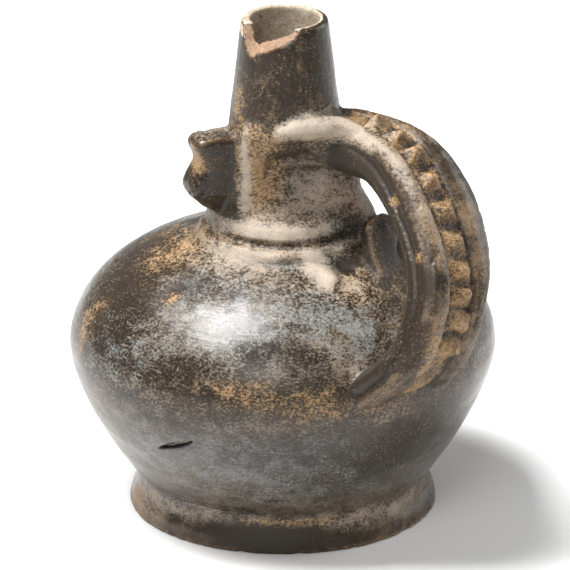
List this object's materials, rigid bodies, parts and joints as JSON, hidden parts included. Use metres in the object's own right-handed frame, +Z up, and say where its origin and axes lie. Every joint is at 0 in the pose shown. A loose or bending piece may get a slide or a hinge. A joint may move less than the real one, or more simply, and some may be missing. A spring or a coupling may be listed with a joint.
{
  "type": "strap-handled spout bottle",
  "caption": "Hollow burnished clay bottle on a ring foot, with an upright conical spout, a plain neck lug and an arched ribbed strap handle set with a row of studs",
  "frame": {"origin": "on the plane the foot stands on, at the centre of the footprint box, 6.2 mm from the belly's axis towards the strap", "axes": "+Z up along the belly's axis, +X towards the strap's outermost part, +Y to the strap's far side as the picture sees it"},
  "size_m": [0.1687, 0.1546, 0.186],
  "materials": {
    "clay": "burnished reduced-fired blackware, worn, with ochre soil in the recesses"
  },
  "bodies": {
    "root": {"vessel": "clay"}
  },
  "joints": []
}
